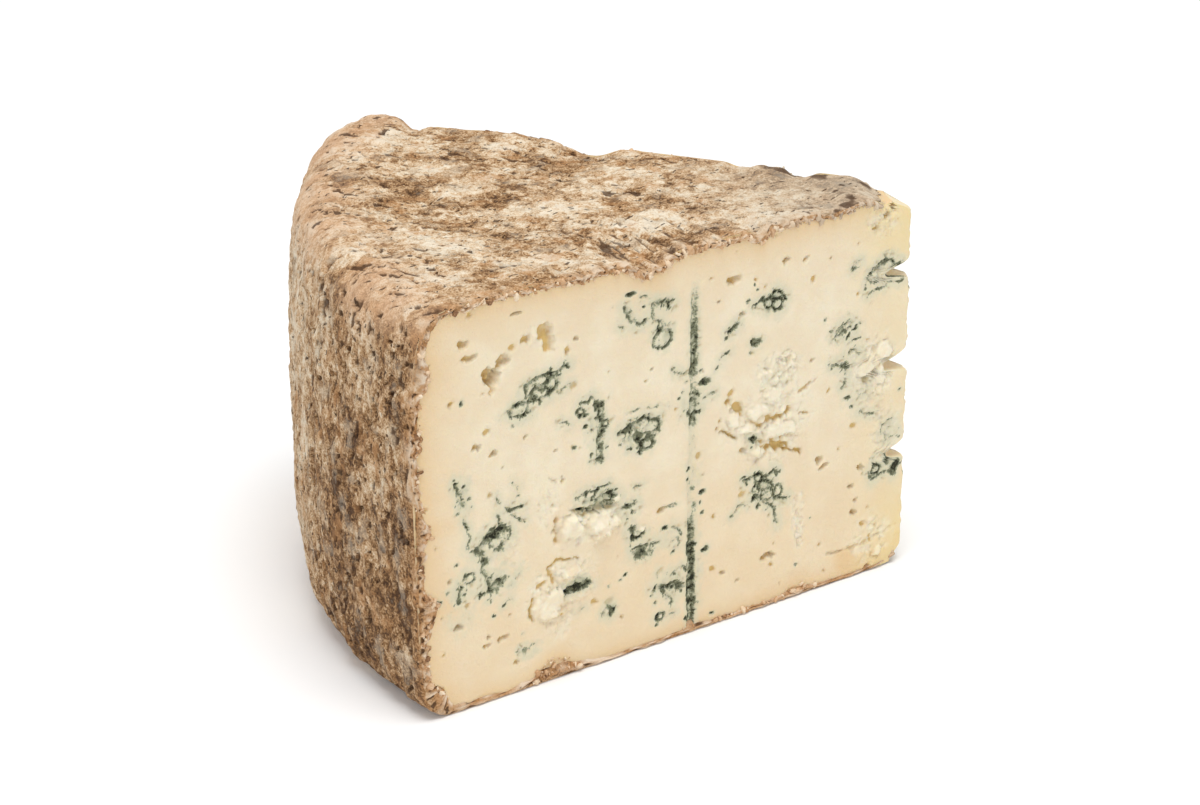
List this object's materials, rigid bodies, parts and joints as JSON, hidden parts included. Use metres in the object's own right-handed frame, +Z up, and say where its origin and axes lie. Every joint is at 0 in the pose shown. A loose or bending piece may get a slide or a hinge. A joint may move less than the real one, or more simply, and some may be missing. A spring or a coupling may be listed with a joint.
{
  "type": "blue cheese wedge",
  "caption": "Wedge of blue cheese with a natural rind on its top, rim and base, two veined cut faces and a flat base to rest on.",
  "frame": {"origin": "middle of the wedge's bounding box, at the base", "axes": "+Z up; +X from the rim towards the tip, along the wedge's middle; the cut face with the long piercing channel looks towards -Y"},
  "size_m": [0.132, 0.1334, 0.0875],
  "materials": {
    "paste": "moist matt cheese paste with blue-green veins",
    "rind": "dry rough natural rind"
  },
  "bodies": {
    "root": {"cheese_wedge": "paste"}
  },
  "joints": []
}
